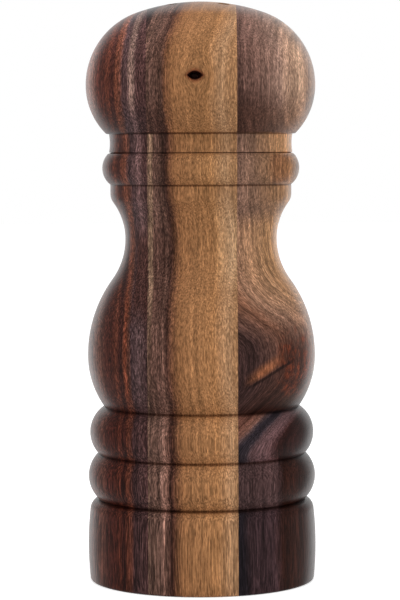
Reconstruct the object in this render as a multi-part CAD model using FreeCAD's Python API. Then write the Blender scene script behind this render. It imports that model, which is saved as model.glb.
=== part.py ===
"""Turned wooden pepper mill with a salt shaker in its head.

Millimetres, +Z up. The origin is the centre of the foot and the front faces -Y.
The body holds the pepper and the grinder. The head turns the grinder through a square
shaft, lifts off for filling, and holds the salt behind four pouring holes.
"""
import FreeCAD
import Part
import math
import os

# Turned outline, from the foot to the top of the dome: heights of its stretches
foot_edge = 0.4
base_crown_height = 6.6
base_height = 21.5
base_shoulder_drop = 2.9
lower_ring_height = 12.0
lower_ring_crown_height = 5.2
upper_ring_height = 12.3
upper_ring_crown_height = 5.5
belly_lower_height = 13.4
belly_upper_height = 30.6
waist_upper_height = 11.7
neck_band_height = 2.45
bead_height = 8.05
bead_crown_height = 3.9
parting_gap = 0.3
collar_height = 4.85
dome_lower_height = 12.65
dome_rise = 21.7

# The blank, and how deep each stretch of the outline is turned below it
blank_radius = 30.0
foot_depth = 0.5
base_depth = 0.08
base_shoulder_depth = 0.53
lower_groove_depth = 2.9
lower_ring_depth = 0.21
middle_groove_depth = 2.8
upper_ring_depth = 0.6
upper_groove_depth = 4.4
belly_depth = 0.15
waist_depth = 10.14
neck_depth = 6.3
bead_depth = 4.22
bead_edge_depth = 5.7
collar_depth = 6.0
collar_hollow = 0.24
dome_foot_depth = 5.3

# Radii of the outline's curves
waist_arc_radius = 18.1
neck_shoulder_radius = 3.65
dome_crown_radius = 50.3

# The blank is glued up from three boards, and these are its two glue planes
left_glue_x = -13.7
right_glue_x = 9.2

# Bores of the body
pepper_bore_radius = 15.0
spigot_wall = 3.0
spigot_height = 6.0
spigot_chamfer = 0.6
foot_ledge = 5.5
foot_recess_depth = 9.0

# Grinder ring, with the bridge above it and the plate below it
ring_seat = 1.8
ring_height = 16.0
ring_mouth_radius = 13.2
ring_throat_height = 3.6
ring_lug_count = 2
ring_lug_width = 4.0
ring_lug_radial = 3.0
ring_coarse_teeth = 8
ring_coarse_depth = 1.2
ring_coarse_half_width = 1.7
ring_fine_teeth = 32
ring_fine_depth = 0.6
ring_fine_half_width = 0.6
bridge_thickness = 1.6
bridge_rim = 3.0
bridge_arm_width = 6.0
bridge_arms = 3
bridge_hub_margin = 0.6
bush_wall = 1.5
bush_drop = 1.5
bush_flange_width = 1.9
bush_flange_height = 1.2
plate_margin = 0.7
plate_thickness = 1.2
plate_opening_margin = 1.6
plate_screw_count = 3
plate_screw_radius = 1.2
plate_screw_head_radius = 2.2
plate_screw_head_height = 1.4
plate_screw_head_taper = 0.7
plate_screw_grip = 8.0
plate_screw_point = 2.4

# Grinding burr: a fine cone below a breaker cone, with a pocket for the spring
burr_foot_radius = 10.4
burr_fine_height = 4.0
burr_fine_angle = 12.0
burr_height = 13.8
burr_pocket_wall = 1.6
burr_drop = 0.8
burr_pocket_depth = 5.5
burr_coarse_teeth = 8
burr_coarse_depth = 1.0
burr_coarse_half_width = 1.7
burr_fine_teeth = 30
burr_fine_depth = 0.6
burr_fine_half_width = 0.65
tooth_slant = 18.0
grinding_gap = 0.46
burr_travel = 0.7

# Spring between the bridge and the burr
spring_wire_radius = 0.5
spring_bush_gap = 0.2
spring_turns = 4
spring_stations_per_turn = 4

# Shaft: threaded end, two flats for the burr, round journal, square drive
thread_radius = 2.0
burr_flat_depth = 0.8
drive_square = 6.0
drive_chamfer = 0.8
drive_chamfer_height = 1.6
shaft_foot_height = 2.2
shaft_reach = 4.0
thrust_washer_radius = 5.8
thrust_washer_thickness = 0.8

# Grind adjuster under the burr
burr_washer_radius = 6.0
burr_washer_thickness = 1.0
knob_radius = 7.5
knob_height = 4.6
knob_flutes = 18
knob_flute_radius = 0.9
knob_flute_depth = 0.5
nut_across_flats = 7.0
nut_height = 3.2

# Salt chamber in the head
salt_chamber_radius = 15.0
salt_roof_thickness = 6.2
floor_seat = 1.4
floor_thickness = 7.0
pour_hole_count = 4
pour_hole_radius = 1.4
pour_circle_radius = 9.6
pour_first_angle = -141.0

# Drive plate and its clip, under the floor of the salt chamber
drive_plate_margin = 1.0
drive_plate_side = 1.5
drive_plate_thickness = 1.5
drive_screw_count = 2
drive_screw_radius = 1.1
drive_screw_head_radius = 2.1
drive_screw_grip = 6.0
drive_screw_point = 2.2
clip_wire_radius = 0.5
clip_tail = 4.5
clip_bend_offset = 4.0

# Stopper of the salt filling hole, behind the shaft
stopper_gap = 0.6
stopper_lip = 0.7
stopper_taper = 0.3
stopper_flange_height = 1.4
stopper_tab_width = 5.0
stopper_tab_thickness = 1.6
stopper_tab_drop = 2.4

# Open pin knot on the front of the dome
knot_x = -1.4
knot_rise = 1.8
knot_width = 4.2
knot_height = 2.4
knot_depth = 3.4
knot_taper = 0.45

# Driver slots and tips of all the screws
screw_slot_width = 0.7
screw_slot_depth = 0.6
screw_tip_radius = 0.3

# Clearances
face_clearance = 0.05
glue_clearance = 0.1
running_clearance = 0.08
slip_clearance = 0.1
seat_clearance = 0.2
turning_clearance = 0.3
screw_clearance = 0.05
overrun = 2.0

# Levels of the outline
lower_groove_z = base_height
middle_groove_z = lower_groove_z + lower_ring_height
upper_groove_z = middle_groove_z + upper_ring_height
belly_z = upper_groove_z + belly_lower_height
waist_z = belly_z + belly_upper_height
neck_z = waist_z + waist_upper_height
bead_z = neck_z + neck_band_height
body_top_z = bead_z + bead_height
head_foot_z = body_top_z + parting_gap
collar_top_z = head_foot_z + collar_height
dome_z = collar_top_z + dome_lower_height
top_z = dome_z + dome_rise

# Radii of the outline
foot_radius = blank_radius - foot_depth
base_radius = blank_radius - base_depth
base_shoulder_radius = blank_radius - base_shoulder_depth
lower_groove_radius = blank_radius - lower_groove_depth
lower_ring_radius = blank_radius - lower_ring_depth
middle_groove_radius = blank_radius - middle_groove_depth
upper_ring_radius = blank_radius - upper_ring_depth
upper_groove_radius = blank_radius - upper_groove_depth
belly_radius = blank_radius - belly_depth
waist_radius = blank_radius - waist_depth
neck_radius = blank_radius - neck_depth
bead_radius = blank_radius - bead_depth
bead_edge_radius = blank_radius - bead_edge_depth
collar_edge_radius = blank_radius - collar_depth
dome_foot_radius = blank_radius - dome_foot_depth
spigot_radius = pepper_bore_radius + spigot_wall

# Radii of the grinder, from the shaft outwards and from the bore inwards
journal_radius = drive_square / 2
burr_flats = 2 * (journal_radius - burr_flat_depth)
bush_radius = journal_radius + bush_wall
bush_flange_radius = bush_radius + bush_flange_width
bridge_hub_radius = bush_flange_radius + bridge_hub_margin
spring_mean_radius = bush_radius + spring_bush_gap + spring_wire_radius
pocket_radius = spring_mean_radius + spring_wire_radius + turning_clearance
burr_top_radius = pocket_radius + burr_pocket_wall
ring_outer_radius = pepper_bore_radius + ring_seat
grinder_bore_radius = ring_outer_radius + seat_clearance
foot_recess_radius = grinder_bore_radius + foot_ledge
plate_radius = foot_recess_radius - plate_margin
plate_opening_radius = burr_foot_radius + plate_opening_margin
plate_screw_circle = plate_radius - plate_screw_head_radius

# Levels of the grinder
ring_foot_z = foot_recess_depth
ring_top_z = ring_foot_z + ring_height
throat_z = ring_foot_z + ring_throat_height
bridge_top_z = ring_top_z + bridge_thickness
bush_top_z = bridge_top_z + bush_flange_height
thrust_top_z = bush_top_z + face_clearance + thrust_washer_thickness
burr_foot_z = ring_foot_z - burr_drop
burr_top_z = burr_foot_z + burr_height
burr_waist_z = burr_foot_z + burr_fine_height
burr_waist_radius = burr_foot_radius - burr_fine_height * math.tan(math.radians(burr_fine_angle))
pocket_floor_z = burr_top_z - burr_pocket_depth
knob_top_z = burr_foot_z - burr_washer_thickness - face_clearance
flats_foot_z = knob_top_z + burr_travel + seat_clearance
flats_top_z = burr_top_z + burr_travel + seat_clearance

# Levels of the head
spigot_top_z = body_top_z + spigot_height
floor_foot_z = spigot_top_z + face_clearance
floor_top_z = floor_foot_z + floor_thickness
chamber_top_z = top_z - salt_roof_thickness
drive_plate_foot_z = floor_foot_z - drive_plate_thickness
shaft_top_z = floor_foot_z + shaft_reach
clip_z = floor_foot_z + face_clearance + clip_wire_radius
clip_leg_y = drive_square / 2 + running_clearance + clip_wire_radius
clip_pocket_height = 2 * clip_wire_radius + 2 * slip_clearance
floor_radius = salt_chamber_radius + floor_seat
drive_plate_width = drive_square + 2 * drive_plate_side
drive_plate_end_x = pepper_bore_radius - drive_plate_margin
drive_screw_x = drive_plate_end_x - drive_plate_width / 2
stopper_outer_y = pepper_bore_radius - turning_clearance
stopper_inner_y = drive_plate_width / 2 + stopper_gap
stopper_flange_radius = (stopper_outer_y - stopper_inner_y) / 2
stopper_offset = (stopper_outer_y + stopper_inner_y) / 2
stopper_radius = stopper_flange_radius - stopper_lip
reach = 2 * blank_radius

AXIS = FreeCAD.Vector(0, 0, 1)
ORIGIN = FreeCAD.Vector(0, 0, 0)


def at(radius, height):
    """A point of an outline, in the plane that is turned about the axis."""
    return FreeCAD.Vector(radius, 0, height)


def line(start, end):
    return Part.LineSegment(start, end).toShape()


def arc(start, middle, end):
    return Part.Arc(start, middle, end).toShape()


def crown_arc(crown, end):
    """An arc that leaves the crown along the axis and runs to the end point."""
    inset = crown.x - end.x
    rise = end.z - crown.z
    radius = (inset**2 + rise**2) / (2 * inset)
    centre_x = crown.x - radius
    half_turn = math.atan2(rise / abs(radius), (end.x - centre_x) / radius) / 2
    middle = at(centre_x + radius * math.cos(half_turn), crown.z + abs(radius) * math.sin(half_turn))
    return arc(crown, middle, end)


def ogee(lower, upper, lower_radius):
    """Two arcs that leave both crowns along the axis and flow into each other."""
    chord = upper - lower
    both_radii = (chord.x**2 + chord.z**2) / (2 * abs(chord.x))
    meeting = lower + chord * (lower_radius / both_radii)
    return [crown_arc(lower, meeting), crown_arc(upper, meeting)]


def turned(edges):
    """The solid of revolution of a closed outline."""
    wire = Part.Wire(Part.__sortEdges__(edges))
    return Part.Face(wire).revolve(ORIGIN, AXIS, 360)


def cylinder(radius, low_z, high_z, x=0.0, y=0.0):
    return Part.makeCylinder(radius, high_z - low_z, FreeCAD.Vector(x, y, low_z), AXIS)


def cone(low_radius, low_z, high_radius, high_z, x=0.0, y=0.0):
    return Part.makeCone(low_radius, high_radius, high_z - low_z, FreeCAD.Vector(x, y, low_z), AXIS)


def block(low, high):
    size = [b - a for a, b in zip(low, high)]
    return Part.makeBox(*size, FreeCAD.Vector(*low))


def around(shape, count, first=0.0):
    """Copies of a shape, evenly spaced about the axis."""
    copies = []
    for index in range(count):
        copy = shape.copy()
        copy.rotate(ORIGIN, AXIS, first + 360.0 * index / count)
        copies.append(copy)
    return copies


def body_outline():
    """Foot, base, two rings, belly, waist, neck, bead and spigot."""
    foot_inner = at(foot_radius - foot_edge, 0)
    foot_outer = at(foot_radius, foot_edge)
    base_crown = at(base_radius, base_crown_height)
    base_shoulder = at(base_shoulder_radius, base_height - base_shoulder_drop)
    lower_groove = at(lower_groove_radius, lower_groove_z)
    middle_groove = at(middle_groove_radius, middle_groove_z)
    upper_groove = at(upper_groove_radius, upper_groove_z)
    lower_ring = at(lower_ring_radius, lower_groove_z + lower_ring_crown_height)
    upper_ring = at(upper_ring_radius, middle_groove_z + upper_ring_crown_height)
    belly = at(belly_radius, belly_z)
    waist = at(waist_radius, waist_z)
    neck = at(neck_radius, neck_z)
    bead_foot = at(neck_radius, bead_z)
    bead_edge = at(bead_edge_radius, body_top_z)
    spigot_foot = at(spigot_radius, body_top_z)
    spigot_side = at(spigot_radius, spigot_top_z - spigot_chamfer)
    spigot_rim = at(spigot_radius - spigot_chamfer, spigot_top_z)
    waist_upper_chord = neck - waist
    both_radii = (waist_upper_chord.x**2 + waist_upper_chord.z**2) / (2 * waist_upper_chord.x)
    edges = [line(ORIGIN, foot_inner), line(foot_inner, foot_outer)]
    edges.append(arc(foot_outer, base_crown, base_shoulder))
    edges.append(crown_arc(base_shoulder, lower_groove))
    edges.append(arc(lower_groove, lower_ring, middle_groove))
    edges.append(arc(middle_groove, upper_ring, upper_groove))
    edges.append(crown_arc(belly, upper_groove))
    edges += ogee(waist, belly, waist_arc_radius)
    edges += ogee(waist, neck, both_radii - neck_shoulder_radius)
    edges.append(line(neck, bead_foot))
    edges.append(arc(bead_foot, at(bead_radius, bead_z + bead_crown_height), bead_edge))
    edges.append(line(bead_edge, spigot_foot))
    edges.append(line(spigot_foot, spigot_side))
    edges.append(line(spigot_side, spigot_rim))
    edges.append(line(spigot_rim, at(0, spigot_top_z)))
    edges.append(line(at(0, spigot_top_z), ORIGIN))
    return edges


def turned_body():
    """The whole wooden body, bored for the pepper, the grinder and its screws."""
    bores = [
        cylinder(pepper_bore_radius, -overrun, top_z),
        cylinder(grinder_bore_radius, -overrun, bridge_top_z),
        cylinder(foot_recess_radius, -overrun, foot_recess_depth),
        cone(pepper_bore_radius, spigot_top_z - spigot_chamfer,
             pepper_bore_radius + spigot_chamfer, spigot_top_z),
    ]
    pilot = cylinder(
        plate_screw_radius + screw_clearance,
        foot_recess_depth - overrun,
        foot_recess_depth + plate_screw_grip + seat_clearance,
        y=plate_screw_circle,
    )
    return turned(body_outline()).cut(bores + around(pilot, plate_screw_count))


def head_outline():
    """Collar and dome."""
    foot = at(collar_edge_radius, head_foot_z)
    hollow = at(collar_edge_radius - collar_hollow, (head_foot_z + collar_top_z) / 2)
    collar_top = at(collar_edge_radius, collar_top_z)
    dome_foot = at(dome_foot_radius, collar_top_z)
    equator = at(blank_radius, dome_z)
    shoulder_radius = (2 * dome_rise * dome_crown_radius - blank_radius**2 - dome_rise**2) / (
        2 * (dome_crown_radius - blank_radius)
    )
    crown_centre_z = top_z - dome_crown_radius
    lean = math.atan2(blank_radius - shoulder_radius, dome_z - crown_centre_z)
    meeting = at(dome_crown_radius * math.sin(lean), crown_centre_z + dome_crown_radius * math.cos(lean))
    crown_middle = at(
        dome_crown_radius * math.sin(lean / 2), crown_centre_z + dome_crown_radius * math.cos(lean / 2)
    )
    return [
        line(at(0, head_foot_z), foot),
        arc(foot, hollow, collar_top),
        line(collar_top, dome_foot),
        crown_arc(equator, dome_foot),
        crown_arc(equator, meeting),
        arc(meeting, crown_middle, at(0, top_z)),
        line(at(0, top_z), at(0, head_foot_z)),
    ]


def lens(width, height, y):
    """A pointed oval face that looks along Y."""
    left = FreeCAD.Vector(-width / 2, y, 0)
    right = FreeCAD.Vector(width / 2, y, 0)
    upper = Part.Arc(left, FreeCAD.Vector(0, y, height / 2), right).toShape()
    lower = Part.Arc(right, FreeCAD.Vector(0, y, -height / 2), left).toShape()
    return Part.Wire([upper, lower])


def knot_pit():
    """The open knot: a pointed oval that narrows as it goes in."""
    mouth_y = -blank_radius - overrun
    floor_y = -blank_radius + knot_depth
    widening = 1 + (1 - knot_taper) * overrun / knot_depth
    pit = Part.makeLoft(
        [
            lens(knot_width * widening, knot_height * widening, mouth_y),
            lens(knot_width * knot_taper, knot_height * knot_taper, floor_y),
        ],
        True,
        True,
    )
    pit.translate(FreeCAD.Vector(knot_x, 0, dome_z + knot_rise))
    return pit


def turned_head():
    """The whole wooden head, bored for the spigot, the chamber floor and the salt."""
    recess_radius = spigot_radius + turning_clearance
    pour_hole = cylinder(pour_hole_radius, floor_top_z, top_z + overrun, x=pour_circle_radius)
    bores = [
        cylinder(recess_radius, head_foot_z - overrun, floor_foot_z),
        cylinder(floor_radius + glue_clearance, head_foot_z, floor_top_z),
        cylinder(salt_chamber_radius, head_foot_z, chamber_top_z),
        cone(recess_radius + spigot_chamfer, head_foot_z, recess_radius, head_foot_z + spigot_chamfer),
        knot_pit(),
    ]
    return turned(head_outline()).cut(bores + around(pour_hole, pour_hole_count, pour_first_angle))


def board(solid, low_x, high_x, low_y=-reach, high_y=reach):
    """The share of a turned solid that was cut from one board of the blank."""
    return solid.common(block((low_x, low_y, -reach), (high_x, high_y, top_z + reach)))


def tooth_cutter(low, high, depth, half_width, slant, into):
    """A slanted V cutter along the outline from low to high, cutting outwards or inwards."""
    along = (high - low).normalize()
    outward = FreeCAD.Vector(along.z, 0, -along.x)
    run = along * math.cos(math.radians(slant)) + FreeCAD.Vector(0, math.sin(math.radians(slant)), 0)
    across = run.cross(outward)
    half_length = (high - low).Length / 2 / math.cos(math.radians(slant)) + overrun
    start = (low + high) * 0.5 - run * half_length
    root = start + outward * (into * depth)
    spread = half_width * (depth + overrun) / depth
    lip = start - outward * (into * overrun)
    wire = Part.makePolygon([root, lip + across * spread, lip - across * spread, root])
    return Part.Face(wire).extrude(run * (2 * half_length))


def grinder_ring():
    """Fixed ring with teeth inside, narrowest at its throat, and two lugs below."""
    gap = grinding_gap / math.cos(math.radians(burr_fine_angle))
    slope = math.tan(math.radians(burr_fine_angle))
    foot = at(burr_foot_radius + gap - burr_drop * slope, ring_foot_z)
    throat = at(burr_foot_radius + gap - (throat_z - burr_foot_z) * slope, throat_z)
    mouth = at(ring_mouth_radius, ring_top_z)
    ring = turned([
        line(foot, at(ring_outer_radius, ring_foot_z)),
        line(at(ring_outer_radius, ring_foot_z), at(ring_outer_radius, ring_top_z)),
        line(at(ring_outer_radius, ring_top_z), mouth),
        line(mouth, throat),
        line(throat, foot),
    ])
    coarse = tooth_cutter(throat, mouth, ring_coarse_depth, ring_coarse_half_width, -tooth_slant, 1)
    fine = tooth_cutter(foot, throat, ring_fine_depth, ring_fine_half_width, -tooth_slant, 1)
    ring = ring.cut(around(coarse, ring_coarse_teeth) + around(fine, ring_fine_teeth))
    lug_outer = ring_outer_radius - seat_clearance
    lug = block(
        (lug_outer - ring_lug_radial, -ring_lug_width / 2, ring_foot_z - plate_thickness),
        (lug_outer, ring_lug_width / 2, ring_foot_z + overrun),
    ).common(cylinder(lug_outer, 0, ring_top_z))
    return ring.fuse(around(lug, ring_lug_count)).removeSplitter()


def bearing_bridge():
    """Pressed spider on top of the grinder ring: rim, arms and hub."""
    rim = cylinder(ring_outer_radius, ring_top_z, bridge_top_z)
    window = cylinder(ring_outer_radius - bridge_rim, ring_top_z, bridge_top_z)
    hub = cylinder(bridge_hub_radius, ring_top_z, bridge_top_z)
    arm = block(
        (0, -bridge_arm_width / 2, ring_top_z),
        (ring_outer_radius - bridge_rim / 2, bridge_arm_width / 2, bridge_top_z),
    )
    hub_hole = cylinder(bush_radius + face_clearance, ring_top_z - overrun, bridge_top_z + overrun)
    spider = rim.cut(window).fuse(around(arm, bridge_arms) + [hub]).cut(hub_hole)
    return spider.removeSplitter()


def shaft_bush():
    """Flanged bush in the hub of the bridge."""
    barrel = cylinder(bush_radius, ring_top_z - bush_drop, bush_top_z)
    flange = cylinder(bush_flange_radius, bridge_top_z, bush_top_z)
    bore = cylinder(journal_radius + running_clearance, 0, top_z)
    return barrel.fuse(flange).cut(bore).removeSplitter()


def cover_plate():
    """Plate that holds the grinder ring up, notched for the ring's lugs."""
    foot_z = ring_foot_z - plate_thickness
    plate = cylinder(plate_radius, foot_z, ring_foot_z)
    opening = cylinder(plate_opening_radius, 0, top_z)
    hole = cylinder(plate_screw_radius + slip_clearance, 0, top_z, y=plate_screw_circle)
    notch = block(
        (0, -ring_lug_width / 2 - slip_clearance, 0),
        (ring_outer_radius, ring_lug_width / 2 + slip_clearance, top_z),
    )
    return plate.cut([opening] + around(hole, plate_screw_count) + around(notch, ring_lug_count))


def cross_slot(radius, low_z, high_z):
    """The crossed driver slots of a screw head."""
    arm = block((0, -screw_slot_width / 2, low_z), (radius, screw_slot_width / 2, high_z))
    return around(arm, 4)


def plate_screws():
    """Round-headed wood screws that hold the cover plate."""
    seat_z = ring_foot_z - plate_thickness
    foot_z = seat_z - plate_screw_head_height
    tip_z = ring_foot_z + plate_screw_grip
    point_z = tip_z - plate_screw_point
    head = cone(plate_screw_head_radius - plate_screw_head_taper, foot_z, plate_screw_head_radius, seat_z)
    shank = cylinder(plate_screw_radius, seat_z, point_z)
    point = cone(plate_screw_radius, point_z, screw_tip_radius, tip_z)
    slots = cross_slot(plate_screw_radius, foot_z - overrun, foot_z + screw_slot_depth)
    screw = head.fuse([shank, point]).cut(slots).removeSplitter()
    screw.translate(FreeCAD.Vector(0, plate_screw_circle, 0))
    return Part.makeCompound(around(screw, plate_screw_count))


def flatted_bar(radius, flats, low_z, high_z):
    """A round bar with two flats."""
    return cylinder(radius, low_z, high_z).common(
        block((-flats / 2, -reach, low_z), (flats / 2, reach, high_z))
    )


def drive_shaft():
    """Turned shaft: thread, flats for the burr, journal, then the square that turns it."""
    half = drive_square / 2
    corner = drive_square / math.sqrt(2)
    bar = block((-half, -half, thrust_top_z), (half, half, shaft_top_z))
    tip = cone(
        corner + drive_chamfer, shaft_top_z - drive_chamfer_height, corner - drive_chamfer, shaft_top_z
    ).fuse(cylinder(corner + drive_chamfer, 0, shaft_top_z - drive_chamfer_height))
    square = bar.common(tip)
    journal = cylinder(journal_radius, flats_top_z, thrust_top_z)
    flats = flatted_bar(journal_radius, burr_flats, flats_foot_z, flats_top_z)
    thread = cylinder(thread_radius, shaft_foot_height, flats_foot_z)
    return square.fuse([journal, flats, thread]).removeSplitter()


def thrust_washer():
    """Washer that carries the shaft's shoulder on the bush."""
    low_z = bush_top_z + face_clearance
    washer = cylinder(thrust_washer_radius, low_z, thrust_top_z)
    return washer.cut(cylinder(journal_radius + slip_clearance, 0, top_z))


def male_burr():
    """Toothed cone on the shaft's flats, bored from above for the spring."""
    foot = at(burr_foot_radius, burr_foot_z)
    waist = at(burr_waist_radius, burr_waist_z)
    crest = at(burr_top_radius, burr_top_z)
    burr = turned([
        line(at(0, burr_foot_z), foot),
        line(foot, waist),
        line(waist, crest),
        line(crest, at(0, burr_top_z)),
        line(at(0, burr_top_z), at(0, burr_foot_z)),
    ])
    coarse = tooth_cutter(waist, crest, burr_coarse_depth, burr_coarse_half_width, tooth_slant, -1)
    fine = tooth_cutter(foot, waist, burr_fine_depth, burr_fine_half_width, tooth_slant, -1)
    pocket = cylinder(pocket_radius, pocket_floor_z, burr_top_z + overrun)
    bore = flatted_bar(
        journal_radius + running_clearance, burr_flats + 2 * running_clearance, 0, top_z
    )
    cutters = around(coarse, burr_coarse_teeth) + around(fine, burr_fine_teeth)
    return burr.cut(cutters).cut([pocket, bore])


def spring_path():
    """Points and headings along the spring's centre line, evenly spaced in each turn."""
    low_z = pocket_floor_z + face_clearance + spring_wire_radius
    high_z = ring_top_z - face_clearance - spring_wire_radius
    steps = spring_stations_per_turn * spring_turns
    rise_per_radian = (high_z - low_z) / (2 * math.pi * spring_turns)
    stations = []
    for step in range(steps + 1):
        angle = step * 2 * math.pi / spring_stations_per_turn
        point = FreeCAD.Vector(
            spring_mean_radius * math.cos(angle),
            spring_mean_radius * math.sin(angle),
            low_z + rise_per_radian * angle,
        )
        heading = FreeCAD.Vector(
            -spring_mean_radius * math.sin(angle), spring_mean_radius * math.cos(angle), rise_per_radian
        )
        stations.append((point, heading.normalize()))
    return stations


def tangent_arc(start, corner, end):
    """The arc from start to end whose two tangents meet at the corner."""
    chord_middle = (start + end) * 0.5
    half_cosine = (end - start).Length / 2 / (corner - start).Length
    middle = chord_middle + (corner - chord_middle) * (half_cosine / (1 + half_cosine))
    return arc(start, middle, end)


def biarc(start, start_heading, end, end_heading):
    """Two arcs that join two points and keep both headings."""
    span = end - start
    headings = start_heading + end_heading
    a = 2 * (1 - start_heading.dot(end_heading))
    b = 2 * span.dot(headings)
    reach_out = (-b + math.sqrt(b * b + 4 * a * span.dot(span))) / (2 * a)
    first = start + start_heading * reach_out
    second = end - end_heading * reach_out
    meeting = (first + second) * 0.5
    return [tangent_arc(start, first, meeting), tangent_arc(meeting, second, end)]


def least_coil_gap(stations):
    """The least gap between one turn of the spring and the next, on its stations."""
    least = reach
    for index, (point, heading) in enumerate(stations):
        for other, other_heading in stations[index + spring_stations_per_turn - 1:]:
            least = min(least, (other - point).Length)
    return least - 2 * spring_wire_radius


def burr_spring():
    """Coil spring that presses the burr down on its adjuster."""
    stations = spring_path()
    edges = []
    for (start, start_heading), (end, end_heading) in zip(stations, stations[1:]):
        edges += biarc(start, start_heading, end, end_heading)
    section = Part.Wire([Part.makeCircle(spring_wire_radius, stations[0][0], stations[0][1])])
    sweep = Part.BRepOffsetAPI.MakePipeShell(Part.Wire(edges))
    sweep.add(section)
    sweep.build()
    sweep.makeSolid()
    print("least gap between the spring's turns:", round(least_coil_gap(stations), 3))
    return sweep.shape()


def burr_washer():
    """Washer between the burr and its adjuster."""
    low_z = burr_foot_z - burr_washer_thickness
    washer = cylinder(burr_washer_radius, low_z, burr_foot_z)
    return washer.cut(cylinder(journal_radius + slip_clearance, 0, top_z))


def hexagon(across_flats, low_z, high_z):
    """A hexagonal bar on the axis."""
    corner = FreeCAD.Vector(across_flats / math.sqrt(3), 0, low_z)
    wire = Part.makePolygon([
        FreeCAD.Rotation(AXIS, 60 * index).multVec(corner) for index in range(7)
    ])
    return Part.Face(wire).extrude(AXIS * (high_z - low_z))


def adjuster_knob():
    """Fluted thumb knob with a pocket for its nut."""
    foot_z = knob_top_z - knob_height
    knob = cylinder(knob_radius, foot_z, knob_top_z)
    flute = cylinder(
        knob_flute_radius, 0, top_z, x=knob_radius + knob_flute_radius - knob_flute_depth
    )
    pocket = hexagon(nut_across_flats + 2 * face_clearance, knob_top_z - nut_height, top_z)
    bore = cylinder(thread_radius + turning_clearance, 0, top_z)
    return knob.cut(around(flute, knob_flutes) + [pocket, bore])


def adjuster_nut():
    """Hexagon nut in the knob, on the shaft's thread."""
    nut = hexagon(nut_across_flats, knob_top_z - nut_height, knob_top_z)
    return nut.cut(cylinder(thread_radius + running_clearance, 0, top_z))


def chamber_floor():
    """Wooden disc glued in below the salt: filling hole, shaft pocket and clip pocket."""
    disc = cylinder(floor_radius, floor_foot_z, floor_top_z)
    corner = drive_square / math.sqrt(2)
    low_z = floor_foot_z - overrun
    clip_high_z = floor_foot_z + clip_pocket_height
    clip_half_width = clip_leg_y + clip_wire_radius + slip_clearance
    cuts = [
        cylinder(corner + seat_clearance, low_z, shaft_top_z + seat_clearance),
        cylinder(stopper_radius + slip_clearance, low_z, floor_top_z + overrun, y=stopper_offset),
        cylinder(
            stopper_flange_radius + slip_clearance,
            low_z,
            floor_foot_z + stopper_flange_height + face_clearance,
            y=stopper_offset,
        ),
        block(
            (-clip_tail - seat_clearance, -clip_half_width, low_z),
            (clip_bend_offset, clip_half_width, clip_high_z),
        ),
        cylinder(clip_half_width, low_z, clip_high_z, x=clip_bend_offset),
    ]
    pilot = cylinder(
        drive_screw_radius + screw_clearance,
        low_z,
        floor_foot_z + drive_screw_grip + screw_clearance,
        x=drive_screw_x,
    )
    return disc.cut(cuts + around(pilot, drive_screw_count))


def drive_plate():
    """Plate under the chamber floor whose square hole takes the shaft."""
    half_width = drive_plate_width / 2
    half_hole = drive_square / 2 + slip_clearance
    strip = block(
        (-drive_screw_x, -half_width, drive_plate_foot_z), (drive_screw_x, half_width, floor_foot_z)
    )
    end = cylinder(half_width, drive_plate_foot_z, floor_foot_z, x=drive_screw_x)
    hole = block((-half_hole, -half_hole, 0), (half_hole, half_hole, top_z))
    head_height = drive_screw_head_radius - drive_screw_radius
    sunk = cone(
        drive_screw_head_radius + slip_clearance,
        drive_plate_foot_z,
        drive_screw_radius + slip_clearance,
        drive_plate_foot_z + head_height,
        x=drive_screw_x,
    )
    drilled = cylinder(drive_screw_radius + slip_clearance, 0, top_z, x=drive_screw_x)
    plate = strip.fuse(around(end, 2)).removeSplitter()
    return plate.cut([hole] + around(sunk, drive_screw_count) + around(drilled, drive_screw_count))


def drive_plate_screws():
    """Two countersunk wood screws that hold the drive plate."""
    head_height = drive_screw_head_radius - drive_screw_radius
    shank_z = drive_plate_foot_z + head_height
    tip_z = floor_foot_z + drive_screw_grip
    point_z = tip_z - drive_screw_point
    head = cone(drive_screw_head_radius, drive_plate_foot_z, drive_screw_radius, shank_z)
    shank = cylinder(drive_screw_radius, shank_z, point_z)
    point = cone(drive_screw_radius, point_z, screw_tip_radius, tip_z)
    slots = cross_slot(
        drive_screw_radius, drive_plate_foot_z - overrun, drive_plate_foot_z + screw_slot_depth
    )
    screw = head.fuse([shank, point]).cut(slots).removeSplitter()
    screw.translate(FreeCAD.Vector(drive_screw_x, 0, 0))
    return Part.makeCompound(around(screw, drive_screw_count))


def shaft_clip():
    """Hairpin of spring wire whose legs grip the square of the shaft."""
    left_back = FreeCAD.Vector(-clip_tail, clip_leg_y, clip_z)
    right_back = FreeCAD.Vector(clip_bend_offset, clip_leg_y, clip_z)
    bend = FreeCAD.Vector(clip_bend_offset + clip_leg_y, 0, clip_z)
    right_front = FreeCAD.Vector(clip_bend_offset, -clip_leg_y, clip_z)
    left_front = FreeCAD.Vector(-clip_tail, -clip_leg_y, clip_z)
    path = Part.Wire([
        line(left_back, right_back),
        arc(right_back, bend, right_front),
        line(right_front, left_front),
    ])
    section = Part.Wire([Part.makeCircle(clip_wire_radius, left_back, FreeCAD.Vector(1, 0, 0))])
    sweep = Part.BRepOffsetAPI.MakePipeShell(path)
    sweep.add(section)
    sweep.build()
    sweep.makeSolid()
    return sweep.shape()


def salt_stopper():
    """Soft tapered stopper with a flange and a pull tab."""
    flange_top_z = floor_foot_z + stopper_flange_height
    flange = cylinder(stopper_flange_radius, floor_foot_z, flange_top_z, y=stopper_offset)
    plug = cone(
        stopper_radius, flange_top_z, stopper_radius - stopper_taper, floor_top_z, y=stopper_offset
    )
    tab_foot_z = floor_foot_z - stopper_tab_drop
    tab = block(
        (-stopper_tab_width / 2, stopper_offset - stopper_tab_thickness / 2, tab_foot_z),
        (stopper_tab_width / 2, stopper_offset + stopper_tab_thickness / 2, flange_top_z),
    )
    return flange.fuse([plug, tab]).removeSplitter()


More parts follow.
